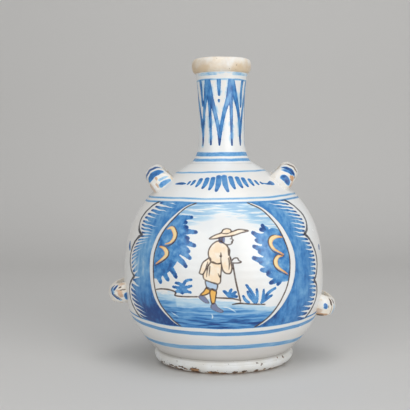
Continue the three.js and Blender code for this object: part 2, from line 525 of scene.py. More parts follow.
pictureLift = 1.05  # the whole painting sits this much above the heights given
outOfReach = 1e4
deepInside = 40.0  # stands for a place far inside or outside the panels' edge
rimReach = 30.0  # up to here the distance to that edge is worked out


def bellyCanvas(hideBack):
    # the back is measured from its own middle, so that the frame repeats there
    height = bellyOutside[:, 1:] - pictureLift + 0 * bellyAngles
    turn = bellyAngles + 0 * height
    front = np.abs(turn) < math.pi / 2
    behind = outOfReach if hideBack else -np.sign(turn) * (math.pi - np.abs(turn))
    across = np.where(front, turn, behind) * bellyShape["radius"]
    step = np.gradient(bellyOutside, axis=0)
    upScale = (np.hypot(*step.T) / step[:, 1])[:, None] + 0 * across
    acrossScale = bellyOutside[:, :1] / bellyShape["radius"] + 0 * across
    return Canvas(across, height, acrossScale, upScale)


allRound = bellyCanvas(hideBack=False)
frontOnly = bellyCanvas(hideBack=True)

medallion = {
    "left": [(-24, 35), (-37.4, 42), (-43.6, 47.4), (-51.7, 56.9), (-56, 67.6), (-58, 79.3), (-58.5, 92),
             (-57, 99.5), (-54.5, 107), (-50.4, 114), (-44.5, 121), (-36, 128.5), (-26, 132.3), (-14, 138)],
    "right": [(14, 138), (25, 132), (36.6, 126.9), (45.3, 117.8), (50.6, 108), (55, 93), (54.2, 79.3),
              (51.4, 69.8), (47.5, 62.5), (43, 55.5), (36, 47.5), (25.7, 40.4), (14, 35)],
}

panelRim = {  # scallops left and right, from the top down: start, end, swell and the white outside the teeth
    -1: [((66, 135), (78.5, 107), 17.5, 5.2),
         ((78.5, 107), (83, 74.2), 13, 3.8),
         ((83, 74.2), (71, 37), 16, 4)],
    1: [((66, 135), (78.5, 107), 16.5, 5.2),
        ((78.5, 107), (86, 70.5), 11, 3.8),
        ((86, 70.5), (68, 37), 13.5, 3.2)],
}

toothLean = {  # heights and how the brush leans there: above 0 down towards the middle, below 0 up
    -1: ([38, 66, 74, 80, 100, 106, 112, 132], [0.3, 0.3, -0.2, -0.5, -0.5, -0.1, 0.12, 0.15]),
    1: ([55, 89, 121], [-0.16, -0.12, -0.18]),
}

toothCount = {  # heights and how many teeth lie below them
    -1: ([30, 74, 106, 140], [0, 11.2, 21.6, 33.4]),
    1: ([30, 70, 106, 140], [0, 11.8, 22.4, 33.8]),
}

foliage = {
    "spread": 0.6,  # the brush runs over the outline of a mass
    "tips": {"fingers": (2.2, 1.0), "bushes": (1.6, 0.7)},  # radius and strength of the darker ends
    "masses": [
        [(-47, 123), (-41, 122), (-38, 117), (-37, 112), (-35, 108), (-34, 103), (-34, 97), (-36, 91),
         (-39, 86), (-43, 82), (-48, 79), (-53, 76), (-61, 78), (-63, 95), (-57, 113)],
        [(36, 110), (43, 113), (52, 108), (59, 95), (57, 77), (48, 74), (43, 77), (38, 82), (34, 87),
         (32, 91), (32, 97), (31.5, 103), (33, 109)],
    ],
    "fingers": [  # root to tip
        [(-44, 121), (-36, 121.4), (-28, 121.7)],
        [(-41, 117), (-36, 118), (-32, 117.8)],
        [(-38, 113), (-34, 114.5), (-30.6, 114.2)],
        [(-36, 110), (-30, 111.4), (-22.2, 111.1)],
        [(-34, 106), (-31, 107), (-28.4, 106.4)],
        [(-35, 103), (-29, 103.2), (-22.5, 101.4)],
        [(-33, 99), (-30, 99), (-27, 97.2)],
        [(-35, 97), (-30, 95.2), (-25.6, 92.2)],
        [(-36, 92), (-32, 89.5), (-28.6, 86.2)],
        [(-42, 85), (-39, 81.5), (-36.6, 78)],
        [(-47, 80), (-45, 77), (-43.5, 75.5)],
        [(-54, 78), (-51.5, 75), (-50.3, 73)],
        [(37, 111), (35, 113.4), (33.6, 115.6)],
        [(36, 113), (34, 112.4), (31.5, 112.6)],
        [(33, 107.5), (28, 108.4), (24.3, 110.6)],
        [(32, 104), (29, 104.4), (26.6, 105.2)],
        [(33, 98), (28.5, 99), (24.3, 100.6)],
        [(33, 95), (30, 96), (28.3, 96.8)],
        [(33, 90), (27.6, 90.8), (23.4, 92.3)],
        [(34, 87), (31, 88), (28.5, 89)],
        [(36, 83), (32, 83), (29.4, 83.4)],
        [(40, 79), (37, 79), (34.4, 80)],
        [(43, 76), (40, 74.6), (36.6, 73.4)],
        [(46, 76), (44, 73.6), (42.8, 72.2)],
    ],
    "bushes": [  # root to tip
        [(-31, 69), (-35, 70), (-38.8, 70.4)],
        [(-30, 70.5), (-33.5, 73), (-36.8, 73.4)],
        [(-31, 70), (-30, 73), (-28, 75.6), (-24, 76.4)],
        [(-31, 67.5), (-28.4, 70.4), (-24, 71.8)],
        [(-32, 66.5), (-28, 67.6), (-24.6, 67)],
        [(-36.6, 66.8), (-33.6, 67.4), (-31, 66)],
        [(3.6, 65), (1.6, 67.6), (0.4, 68.4)],
        [(4.4, 65), (5, 68), (6, 69.6)],
        [(5.6, 65), (7.6, 66.6), (9.2, 67.6)],
        [(4.4, 64.4), (7, 64.6), (10, 64.2)],
        [(19, 59.5), (16.6, 61.6), (14.8, 64.6)],
        [(23.6, 59.6), (20.4, 63.4), (18, 67.6)],
        [(25, 60), (21.4, 67), (17.2, 72.6)],
        [(25.2, 59.5), (25.6, 64), (25.2, 69.2)],
        [(29, 59), (30.4, 63), (30.8, 68.4)],
        [(29.5, 59.6), (34.6, 66), (40.6, 69.2)],
        [(29.8, 59.4), (34, 62.2), (37.6, 64)],
    ],
}

ochreSweeps = [
    [(-49, 112.6), (-46, 113.8), (-43, 112.8), (-40.4, 109.4), (-40.8, 106), (-43.8, 102.9), (-48.4, 101.6)],
    [(-54, 99.5), (-49.8, 98.7), (-46.4, 96.3), (-46.2, 93.4), (-49.8, 90.4), (-56, 86.3)],
    [(50.4, 106.3), (45, 107), (40.2, 105.9), (38.4, 102.5), (41.2, 98), (49.7, 93.6)],
    [(48.6, 92.7), (44.4, 92.5), (41.6, 89.8), (41.8, 86.6), (44.5, 83.6), (52.5, 78.7)],
]

ochreLineGap = 1.9  # from the middle of a sweep's brush line to the brown line outside it

shore = [-56, -37, -36, 6, 14, 34, 52], [67.5, 67, 64, 63, 60, 57.5, 56]  # across, and height of the ground

gleams = [  # painted highlights: white streaks left bare in the ground wash
    [(0, 56.5), (5, 55.5), (9.5, 52.5)],
    [(-8.8, 51), (-8.2, 49.4), (-8.6, 47.6)],
    [(-42, 51), (-39, 49.4), (-36, 48)],
]

groundLines = [
    [(-55.2, 67), (-50, 68), (-44, 68.1), (-39.6, 67.5), (-36.5, 66.2), (-37.4, 64.1), (-30.7, 63.6),
     (-19.4, 64)],
    [(-5.7, 63.5), (1, 63.3), (7.2, 62.8), (12.8, 61.4)],
    [(6.7, 58.5), (12.4, 59.2), (19.5, 58.5), (32, 57.5)],
]

wayfarer = {
    "outlined": {  # half width of the outline, and the parts that have it
        0.52: ("hat", "coat", "tail", "skirt", "breeches", "rear leg", "front leg", "hand"),
        0.3: ("rear shoe", "front shoe"),
    },
    "hat": [(-10.9, 106.6), (-6.4, 109.2), (-1.6, 110.8), (0, 113), (2.9, 113.8), (5.8, 113.3), (7.2, 111.7),
            (12.9, 113.2), (20.7, 112.1), (14.4, 110.7), (7.8, 108.8), (0, 107.9), (-6.3, 106.6)],
    "coat": [(-3, 105), (-7, 103.6), (-10, 100.5), (-11.3, 96.9), (-10.8, 93.4), (-8.8, 89.8), (-4.7, 88.5),
             (-1.4, 88.8), (5.3, 90.1), (5.6, 92.7), (4.7, 94.6), (5, 98.2), (3.6, 100.6), (2, 102.4)],
    "sleeve": [(-1.7, 97.2), (-1.8, 89.5), (-1.1, 86.9), (-0.3, 83.9), (1.9, 81.6), (5.3, 81.6), (6.5, 85.4),
               (5.8, 89.8), (4, 95)],
    "tail": [(-9.9, 92.7), (-12.9, 91.2), (-15.7, 88.6), (-17.5, 82.9), (-17.8, 81.4), (-15.1, 80.8),
             (-13, 84.5), (-9.5, 89.5)],
    "skirt": [(-8.8, 89.8), (-12.4, 85), (-14.8, 80.8), (-14.7, 78.1), (-13.2, 76.5), (-9.4, 75.1),
              (-4.6, 73.7), (-2.2, 74.9), (-1.9, 78.6), (-1.2, 86.9), (-1.4, 88.8), (-4.7, 88.5)],
    "breeches": [(-13.2, 76), (-12.5, 71.8), (-11.3, 69.9), (-8, 69.4), (-5.3, 68.8), (-4.3, 73.4), (-9, 75)],
    "rear leg": [(-12.3, 71), (-14.6, 68), (-17.1, 65.5), (-14, 65.3), (-10.2, 67.3), (-9.8, 69.8)],
    "front leg": [(-9.8, 69.8), (-9.5, 63.5), (-8.4, 59.3), (-6.5, 59.7), (-5.6, 64), (-5.3, 68.8)],
    "rear shoe": [(-18.6, 64), (-14.1, 59.9), (-10.6, 59.6), (-13.3, 63.8), (-15.6, 64.8)],
    "front shoe": [(-8.8, 58.5), (-8.9, 55.4), (-3.5, 52.7), (-0.4, 52.7), (-0.4, 53.9), (-4.2, 56.6),
                   (-6.2, 59.7)],
    "hand": [(6.2, 89.4), (8, 92.3), (10.7, 92.6), (11.7, 90.9), (13.6, 89.7), (11.6, 89)],
    "hair": [(-3.6, 107.6), (1, 107.8), (1.4, 105.4), (0.6, 103.4), (-3.1, 103.8)],
    "face": [(0.6, 107.9), (6.8, 108.6), (6.9, 107.2), (7, 106.4), (8, 105.5), (7.1, 104.9), (7.2, 104.2),
             (6.5, 103), (4.6, 102.3), (2, 102.4), (0.8, 104)],
    "staff": [(7.2, 88.4), (9.4, 75.1), (12.8, 60.7)],
    "folds": [
        [(-11.5, 89.8), (-12.6, 86.3), (-13.5, 83.2)],
        [(-10.9, 88.1), (-11.8, 84.1), (-12.4, 78.8)],
        [(-9.9, 86.7), (-10.2, 83.2), (-10.5, 79.6)],
        [(-3.7, 81.4), (-2.8, 79.2), (-2.1, 78)],
        [(3.9, 92.5), (4.6, 88.5), (4.2, 84.1)],
        [(3.6, 99.4), (4, 97), (3.9, 94.6)],
        [(-1.2, 110.6), (2.8, 110.2), (7, 111.4)],
        [(-2.8, 94.2), (-1.3, 93.8), (-1.8, 96.6)],
        [(-2.6, 106.8), (-2.2, 104.6)],
        [(-0.9, 107), (-0.8, 104.4)],
        [(5.4, 106.5), (6.1, 106.4)],
        [(6.3, 104.2), (7, 104.3)],
    ],
    "sleeve edge": [(-1.8, 96.6), (-1.7, 91), (-1.1, 86.9), (-0.3, 83.9), (1.9, 81.6), (5.3, 81.6),
                    (6.5, 85.4), (5.8, 89.8), (5, 93.4)],
    "profile": [(6.8, 108.4), (6.9, 107.2), (7, 106.4), (8, 105.5), (7.1, 104.9), (7.2, 104.2), (6.5, 103),
                (4.6, 102.3), (2, 102.6)],
}

panelLines = [  # height, half width, tone, lift at the sides, tilt to the right and sway across the front
    (155.2, 0.55, 0.46, 0.0, 0.02, 0.0),
    (135.3, 0.65, 0.46, 1.2, 0.013, 0.0),
    (132.2, 0.65, 0.58, 1.3, 0.013, 0.0),
    (39.9, 0.7, 0.74, 3.0, 0.0, 0.0),
    (34.8, 1.5, 0.56, 3.4, 0.0, 0.0),
    (23.3, 1.8, 0.47, -1.6, 0.0, 0.034),
]

gadroons = [  # top, bottom and width of each comma
    ((-46.2, 147.6), (-47.4, 145.6), 2.2), ((-39.6, 148.3), (-41.4, 145.2), 2.8),
    ((-30.8, 149.5), (-33, 144.3), 3.6), ((-21.4, 150), (-24, 143), 3.8),
    ((-13, 150.4), (-15.2, 142.1), 3.8), ((-4.5, 151.6), (-7.1, 141.1), 4.3),
    ((3.5, 151.8), (6.2, 140.8), 4.3), ((12.8, 151), (14.8, 142.8), 3.8),
    ((22.4, 150.7), (24.2, 143.5), 3.7), ((30.8, 150), (32, 144.2), 3.5),
    ((39.8, 149.2), (40.6, 144.9), 3.1), ((47.8, 148), (48.8, 145.3), 2.6),
    ((54.6, 147), (55.2, 145.7), 2.0),
]

loneDabs = [  # line, widths along it, then place, radius and strength of its darkest spot
    ([(-69, 145.9), (-60, 146.3), (-50.4, 146.1)], (1.2, 2.8, 3.2, 0.8), ((-60, 146), 5.0, 1.0)),
    ([(56.6, 146.2), (64, 145.6), (70, 145.9), (74.5, 146.3)], (1.4, 1.8, 2.6, 4.6, 5.2),
     ((67, 146), 4.0, 1.0)),
    ([(-100.8, 99.5), (-100, 97.2), (-97, 94.4)], (2.4, 4.4, 3.4), ((-100, 96.6), 4.0, 1.0)),
    ([(107, 95.7), (104.2, 93.5)], (2.6, 4.2, 2.6), ((105.7, 94.6), 5.0, 1.2)),
]

brushWidths = {  # along each kind of stroke, from its start to its end
    "fingers": (4.6, 4.1, 3.0),
    "bushes": (2.0, 2.6, 1.8),
    "ochre": (0.8, 2.0, 3.4, 3.9, 2.8, 1.7, 0.7),
    "ochre line": (0.4, 1.1, 1.1, 0.6),
    "ground line": (1.0, 1.3, 1.2, 1.1),
    "gleam": (0.3, 0.8, 0.3),
    "sleeve edge": (0.8, 1.1, 1.1, 0.9),
    "profile": (0.9, 1.0, 0.9),
    "fold": (0.7, 1.0, 0.5),
    "staff": (1.2, 1.3, 1.2),
}


def rimPoints(scallops):
    # each arch is the straight way between its ends, pushed out by swell x (sin of the way gone) to the 0.7
    line = []
    for start, end, swell, _ in scallops:
        t = np.linspace(0, 1, 15)[:, None]
        arch = np.array(start) * (1 - t) + np.array(end) * t
        arch[:, :1] += swell * np.sin(math.pi * t) ** 0.7
        line.append(arch)
    return joinLines(*line)


def paintRim(canvas):
    # how deep a point lies inside the scalloped edge and inside the line of teeth, and its place among them
    depth, teeth, place = (canvas.blank(0.0) for _ in range(3))
    for side, scallops in panelRim.items():
        line = rimPoints(scallops)
        folded = Canvas(side * canvas.across, canvas.up, canvas.acrossScale, canvas.upScale)
        near = folded.near(line, rimReach)
        best = np.full(near.size, deepInside)
        margin = np.zeros(near.size)
        spans = (len(line) - 1) // len(scallops)
        for k, (gap, t) in enumerate(folded.spanGaps(near, line)):
            closer = gap < best
            best = np.where(closer, gap, best)
            # the white outside the teeth is narrowest where two scallops meet
            white = 0.8 + scallops[k // spans][3] * np.sin(math.pi * (k % spans + t) / spans) ** 0.6
            margin = np.where(closer, white, margin)
        inside = folded.across < np.interp(folded.up, line[::-1, 1], line[::-1, 0])
        deep = np.where(inside, deepInside, -deepInside)
        deep[near] = np.where(inside[near], best, -best)
        inner = deep.copy()
        inner[near] -= margin
        lean = np.interp(canvas.up, *toothLean[side])
        count = np.interp(canvas.up + lean * np.clip(inner, -3, 14), *toothCount[side])
        mine = folded.across >= 0
        for field, values in ((depth, deep), (teeth, inner), (place, count)):
            field[mine] = values[mine]
    return {"rimDepth": (depth, -deepInside), "toothDepth": (teeth, -deepInside), "toothPlace": (place, 0.0)}


def strokesOf(canvas, lines, kind):
    field = canvas.blank()
    for line in lines:
        canvas.stroke(field, line, brushWidths[kind])
    return field


def patchesOf(canvas, outlines):
    field = canvas.blank()
    for outline in outlines:
        canvas.patch(field, outline)
    return field


def paintLeaves():
    leaves = patchesOf(allRound, foliage["masses"]) - foliage["spread"]
    tips = allRound.blank(0.0)
    for kind, (radius, strength) in foliage["tips"].items():
        leaves = np.minimum(leaves, strokesOf(allRound, foliage[kind], kind))
        for line in foliage[kind]:
            allRound.pool(tips, line[-1], radius, strength)
    return {"leafGap": (leaves, farAway), "leafTip": (tips, 0.0)}


def paintCommas():
    # each gadroon bows outwards and thins towards its foot
    commas = allRound.blank()
    darkEnds = allRound.blank(0.0)
    for top, bottom, width in gadroons:
        bow = (top[0] * 0.8 + bottom[0] * 0.2, top[1] * 0.45 + bottom[1] * 0.55)
        allRound.stroke(commas, [top, bow, bottom], (width, width, width * 0.55))
        allRound.pool(darkEnds, bottom, 2.0)
        allRound.pool(darkEnds, top, 1.6, 0.7)
    for line, widths, darkest in loneDabs:
        allRound.stroke(commas, line, widths)
        allRound.pool(darkEnds, *darkest)
    return {"commaGap": (commas, farAway), "commaEnd": (darkEnds, 0.0)}


def paintFigure(lines):
    # areas of the figure's colours, and its outlines added to the lines
    def areaOf(*names):
        return patchesOf(frontOnly, [wayfarer[name] for name in names])

    areas = {
        "coatGap": areaOf("hat", "coat", "sleeve", "tail", "skirt"),
        "legGap": areaOf("rear leg", "front leg"),
        "slateGap": areaOf("rear shoe", "front shoe", "hair"),
        "paleGap": areaOf("breeches"),
        "figureGap": areaOf("hand", "face"),
    }
    areas["figureGap"] = np.minimum.reduce(list(areas.values()))
    for half, names in wayfarer["outlined"].items():
        for name in names:
            np.minimum(lines, np.abs(areaOf(name)) - half, out=lines)
    lines[areaOf("sleeve") < -0.2] = farAway  # the sleeve lies over the coat's lines
    for name in ("sleeve edge", "profile", "staff"):
        frontOnly.stroke(lines, wayfarer[name], brushWidths[name])
    for fold in wayfarer["folds"]:
        frontOnly.stroke(lines, fold, brushWidths["fold"])
    return {name: (area, farAway) for name, area in areas.items()}


def awayFrom(middle, points, reach):
    # the points moved by that reach, straight away from a middle
    off = np.array(points) - middle
    return points + off / np.hypot(*off.T)[:, None] * reach


def paintBelly():
    lines = strokesOf(allRound, groundLines, "ground line")
    for sweep in ochreSweeps:
        outer = awayFrom(np.mean(sweep, 0), sweep, ochreLineGap)
        allRound.stroke(lines, outer[1:], brushWidths["ochre line"])
    across, up = allRound.across, allRound.up
    fields = {
        "ringGap": (patchesOf(allRound, [medallion["left"] + medallion["right"]]), farAway),
        "ochreGap": (strokesOf(allRound, ochreSweeps, "ochre"), farAway),
        "gleamGap": (strokesOf(allRound, gleams, "gleam"), farAway),
        "sky": (smooth(112, 125, up + 0.3 * np.abs(across) - 7), 0.0),  # reaches lower towards the sides
        "groundDrop": ((np.interp(across, *shore) - up) * (1 + 0.5 * smooth(5, 15, across)), -farAway),
        **paintRim(allRound),
        **paintLeaves(),
        **paintCommas(),
        **paintFigure(lines),
        "lineGap": (lines, farAway),
    }
    for name, (values, rest) in fields.items():
        keepField(belly, name, values, bellyStart, rest)


paintBelly()
print("belly painted with", len(belly.data.attributes), "fields")


pictureLook = {
    "panel": (39.6, 132.3),  # heights of its lower and upper edge
    "panelRise": (3.0, 1.3),  # how much higher these edges lie at the sides
    "panelTilt": 0.013,
    "panelTone": 0.62,
    "ringMiddle": 88.0,  # the white ring is widest here
    "ringHalf": 49.0,
    "ringWidth": (3.4, 1.6),  # and that much more on the right
    "ringLeast": 0.6,
    "slits": (20, 14),  # depth of the white slits between teeth, and what chance adds
    "shortSlits": (106, 0.58),  # below this height they are this share as deep
    "ground": [(0, 3, 0.2), (4, 10, 0.42), (13, 21, 0.2)],  # below the shore: from, to and the tone it adds
    "leafTone": 0.66,
    "commaTone": 0.66,
    "halfLines": {"rim": 1.15, "ring": 0.6, "ring edge": 0.3},
}


def paintedGlaze(look):
    finish = Finish("painted glaze")
    shade = glazeColours
    colour = bareGlaze(finish)
    wobble = finish.noise(40, 2) - 0.5
    rough = finish.noise(1.1, 2) - 0.5
    level = finish.height - pictureLift + wobble * 2.4
    streak = finish.noise(16, 3, 9)
    blotch = finish.noise(6, 4)
    fine = finish.noise(2.4, 3)
    upright = finish.noise(3.5, 3, 0.3)
    ring = finish.field("ringGap") + rough * 0.4
    depth = finish.field("rimDepth") + rough * 0.7 + (finish.noise(9, 2) - 0.5) * 2.0
    # sideways: 0 in the middle of the front and the back, 1 at the sides
    sideways = finish.aside * finish.aside / (finish.aside * finish.aside + finish.deep * finish.deep + 1)
    bottom, top = look["panel"]
    bottomRise, topRise = look["panelRise"]
    inPanel = (level - sideways * topRise - finish.aside * look["panelTilt"] - top).covered(0.25)
    inPanel = inPanel * (bottom + sideways * bottomRise - level).covered(0.25)
    inside = ring.covered(0.2) * inPanel
    # ring: white band outside the picture's edge, widest at half height
    fromMiddle = (finish.height - look["ringMiddle"]) / look["ringHalf"]
    width, moreRight = look["ringWidth"]
    ringWidth = (1 - fromMiddle * fromMiddle).above(0) * (width + finish.aside.eased(-5, 5) * moreRight)
    ringWidth = ringWidth + look["ringLeast"]
    # side panels: blue inside the scalloped edge, cut into teeth along it
    teeth = finish.field("toothDepth") + rough * 0.6
    tooth = finish.field("toothPlace") + (finish.noise(7, 2) - 0.5) * 0.5
    lot = Wire.node(finish.tree, "TexWhiteNoise", {"noise_dimensions": "1D"}, {"W": (tooth + 0.5).whole()})
    wave = abs(tooth.wrapped() - 0.5) * 2
    slitDepth, slitChance = look["slits"]
    shortBelow, shortShare = look["shortSlits"]
    slitReach = shortShare + (finish.height - shortBelow).eased(-4, 4) * (1 - shortShare)
    slit = (wave - 0.46 - teeth / (slitDepth + lot * slitChance) / slitReach).eased(-0.12, 0.12)
    edge = (teeth + 0.8 - wave * wave * 1.4).eased(-0.3, 0.3)
    offRing = (ring - ringWidth).eased(-0.2, 0.2)
    side = edge * (1 - slit) * inPanel * offRing
    toothTip = 1 - teeth.eased(-0.5, 4)
    nearRing = 1 - (ring - ringWidth).eased(0, 6)
    sideTone = look["panelTone"] + (upright - 0.5) * 0.55 + (blotch - 0.5) * 0.6
    sideTone = sideTone + toothTip * 0.5 + nearRing * 0.12
    toLeft = 0 - finish.aside
    leftMiddle = toLeft.eased(30, 60) * (1 - abs(finish.height - 92).eased(12, 26))
    sideTone = sideTone - leftMiddle * 0.16
    # darker towards the bottom; the extra darkening on the left is painted shade
    sideTone = sideTone + (72 - finish.height).eased(0, 26) * (0.14 + toLeft.eased(20, 50) * 0.26)
    # picture: sky streaks, ground wash that deepens downwards, leaves
    skyTone = finish.field("sky") * (streak.eased(0.34, 0.6) * 0.32 + 0.04)
    drop = finish.field("groundDrop") + (finish.noise(16, 3, 3) - 0.5) * 10
    groundTone = sum(drop.eased(start, end) * tone for start, end, tone in look["ground"])
    # the gleams are painted highlights, left bare in the wash
    groundTone = groundTone * (0.6 + streak.eased(0.3, 0.7) * 0.7) * finish.field("gleamGap").eased(-0.3, 0.5)
    leaf = finish.field("leafGap") + rough * 1.1
    leafTone = look["leafTone"] + (blotch - 0.5) * 1.1 + (fine - 0.5) * 0.3 + finish.field("leafTip") * 0.34
    figure = finish.field("figureGap").covered(0.2)
    picture = skyTone.above(groundTone).above(leaf.covered(0.25) * leafTone) * inside * (1 - figure)
    # lines round the pot
    bands = side * sideTone
    for height, half, tone, lift, tilt, sway in panelLines:
        drawn = level - height - sideways * lift - finish.aside * (tilt + sway - sideways * sway)
        stripe = (abs(drawn) - half + rough * 0.3).covered(0.35)
        bands = bands.above(stripe * (tone + (streak - 0.5) * 0.5))
    comma = (finish.field("commaGap") + rough * 0.4).covered(0.25)
    commaTone = look["commaTone"] + (blotch - 0.5) * 0.5 + finish.field("commaEnd") * 0.3
    bands = bands.above(comma * commaTone)
    colour = cobaltOver(finish, colour, picture.above(bands))
    # ochre, clothes and outlines
    sweep = finish.field("ochreGap") + rough * 0.4
    ochre = finish.mix((sweep + blotch).eased(-0.4, 0.6), shade["ochre pale"], shade["ochre"])
    colour = finish.mix(sweep.covered(0.25) * inside, colour, ochre)
    coat = finish.mix(blotch.eased(0.35, 0.65), shade["peach"], shade["peach pale"])
    colour = finish.mix(finish.field("coatGap").covered(0.3), colour, coat)
    for area, name in (("legGap", "stocking"), ("paleGap", "pale blue"), ("slateGap", "slate")):
        colour = finish.mix(finish.field(area).covered(0.3), colour, shade[name])
    halves = look["halfLines"]
    rimLine = (abs(depth) - halves["rim"] + (blotch - 0.5) * 0.9).covered(0.35) * inPanel
    ringLine = (abs(ring) - halves["ring"]).covered(0.3) * inPanel
    ringEdge = (abs(ring - ringWidth) - halves["ring edge"]).covered(0.3) * inPanel * 0.3
    outlines = finish.field("lineGap").covered(0.25) * inside
    pressed = 0.92 + (fine - 0.5) * 0.7
    colour = finish.mix((outlines.above(ringLine) * pressed).above(ringEdge), colour, shade["brown"])
    colour = finish.mix(rimLine * pressed, colour, shade["outline"])
    return closeSmooth(finish, colour)


dress(belly, "belly", paintedGlaze(pictureLook))


# Neck: thrown tube with blades of blue hanging from its top

neckShape = {
    "base": 163.0,
    "baseRadius": 26.0,
    "slope": 31.4,
    "narrow": 187.0,
    "radius": 18.8,
    "top": 236.0,
    "topRadius": 21.4,
    "flare": (0.6, 14.4),  # handles of the root's curve: share of its narrowing, and length at the narrow
    "stem": (0.38, 0.25),  # handles of the stem's curve, below and above, as shares of its rise
    "inside": [(16.8, 236), (14.6, 225), (14.2, 205), (14.2, 187), (15.6, 174), (19.5, 163)],
    "spacing": 0.7,
    "dent": 0.12,
    "uneven": (175.0, 228.0),  # heights between which the dents are full
}


def addNeck(shape):
    # two Bezier arcs that meet upright at the narrow, turned round the axis, less two slow waves of dents
    share, handle = shape["flare"]
    push = (shape["baseRadius"] - shape["radius"]) * share
    lift = push * math.tan(math.radians(shape["slope"]))
    base = (shape["baseRadius"], shape["base"])
    narrow = (shape["radius"], shape["narrow"])
    top = (shape["topRadius"], shape["top"])
    below, above = ((top[1] - narrow[1]) * part for part in shape["stem"])
    root = bend(120, base, (base[0] - push, base[1] + lift), (narrow[0], narrow[1] - handle), narrow)
    stem = bend(160, narrow, (narrow[0], narrow[1] + below), (narrow[0], top[1] - above), top)
    outside = graded(joinLines(root, stem), shape["spacing"])
    angles = anglesRound(shape["radius"], shape["spacing"])
    height = outside[:, 1:]
    low, high = shape["uneven"]
    body = smooth(shape["base"], low, height) * (1 - smooth(high, shape["top"], height))
    wave = np.sin(2 * angles + height / 15) + np.sin(3 * angles - height / 22 + 1.2)
    dents = shape["dent"] * (2 + wave) / 4 * body
    inside = np.array(shape["inside"])
    points = np.vstack([
        turned(outside[:, :1] - dents, height, angles),
        turned(inside[:, :1], inside[:, 1:], angles),
    ])
    return ringMesh("neck_tube", points, closedRows=True), outside, angles


neck, neckOutside, neckAngles = addNeck(neckShape)

blades = {  # in degrees round the neck and millimetres of height
    "lift": 0.6,  # the whole pattern sits this much higher
    "turn": 2.0,  # and further right
    "top": 229.6,  # no blade is painted above this
    "arms": [
        [(-36, 230), (-44.5, 215), (-50, 204), (-53.6, 190), (-53.6, 177)],
        [(-36, 230), (-28, 215), (-19, 204), (-10, 190), (-7, 177)],
        [(21, 230), (14.5, 214), (5.4, 204), (-2.5, 191), (-7, 177)],
        [(21, 230), (35, 214), (44, 204), (49.6, 190), (50.6, 177)],
    ],
    # the arms out of sight run from a peak to a tip, a share of that way at each height
    "turns": [(80, 50.6), (80, 112), (142, 112), (142, 174),
              (205, 174), (205, 236), (268, 236), (268, 306.4)],
    "bends": [(0, 230), (0.3, 215), (0.62, 204), (0.9, 190), (1, 177)],
    "stems": [
        [(-35, 226), (-31, 200), (-28.5, 177.5)],
        [(21, 226), (23, 200), (24, 177)],
        [(80, 226), (81, 177)],
        [(142, 226), (143, 177)],
        [(205, 226), (204, 177)],
        [(268, 226), (268, 177)],
    ],
    "pendants": [
        [(-60, 229), (-58, 220), (-56, 209)],
        [(-8, 230), (-8, 224), (-7.6, 217)],
        [(55, 229), (53, 220), (53, 208)],
        [(112, 230), (112, 214)],
        [(174, 230), (174, 212)],
        [(236, 230), (236, 214)],
    ],
    "dots": [[(-8.4, 212.8), (-7.8, 211.4)]],
    "widths": {
        "arms": (5.2, 4.2, 3.4, 2.7, 1.3),
        "stems": (3.4, 2.8, 1.6),
        "pendants": (3.5, 3.0, 2.0),
        "dots": (2.0, 1.2),
    },
    "tips": {"arms": 5.0, "stems": 3.4},  # radius of the darker ends
}

neckLines = [  # height, half width, tone and how far it breaks up
    (169.7, 1.6, 0.54, 0.0),
    (165.1, 1.15, 0.52, 0.0),
    (229.3, 0.7, 0.5, 0.45),
    (233.8, 1.2, 0.34, 0.9),
]


def paintNeck(look):
    height = neckOutside[:, 1:] - look["lift"] + 0 * neckAngles
    turn = np.degrees(neckAngles) - look["turn"] + 0 * height
    perDegree = neckOutside[:, :1] * math.pi / 180 + 0 * turn
    strokes = np.full(turn.size, farAway)
    tips = np.zeros(turn.size)
    hidden = [[(peak + (tip - peak) * share, z) for share, z in look["bends"]] for peak, tip in look["turns"]]
    for centre in (0, 180):  # front half and back half, so that no stroke meets the seam of the angles
        canvas = Canvas((turn - centre + 180) % 360 - 180 + centre, height, perDegree)
        for kind, widths in look["widths"].items():
            for line in look[kind] + (hidden if kind == "arms" else []):
                canvas.stroke(strokes, line, widths)
                if kind in look["tips"]:
                    canvas.pool(tips, line[-1], look["tips"][kind])
    keepField(neck, "bladeGap", strokes, 0, farAway)
    keepField(neck, "bladeTip", tips, 0, 0.0)


paintNeck(blades)


def neckGlaze():
    finish = Finish("neck glaze")
    colour = bareGlaze(finish)
    rough = finish.noise(1.1, 2) - 0.5
    streak = finish.noise(4, 3, 4)
    blotch = finish.noise(4, 4, 0.4)
    level = finish.height - blades["lift"] + (finish.noise(25, 2) - 0.5) * 1.6
    broken = finish.noise(17, 3).eased(0.38, 0.58)
    blade = finish.field("bladeGap") + rough * 0.5
    # pigment gathers along the edges and at the tips, and bleeds a little into the white
    edge = blade.eased(-1.1, -0.1) * 0.16
    tone = 0.5 + blotch.eased(0.34, 0.66) * 0.36 + edge + finish.field("bladeTip") * 0.7
    bleed = (blade - 1.3).covered(1.2) * finish.noise(9, 3).eased(0.4, 0.65) * 0.26
    pigment = (blade.covered(0.22) * tone).above(bleed)
    pigment = pigment * (level - blades["top"]).covered(0.5)
    for height, half, tone, gaps in neckLines:
        stripe = (abs(level - height) - half + rough * 0.3).covered(0.3) * (1 - gaps + broken * gaps)
        pigment = pigment.above(stripe * (tone + (streak - 0.5) * 0.6))
    return closeSmooth(finish, cobaltOver(finish, colour, pigment))


dress(neck, "neck", neckGlaze())
print("neck made with", len(neck.data.polygons), "faces")
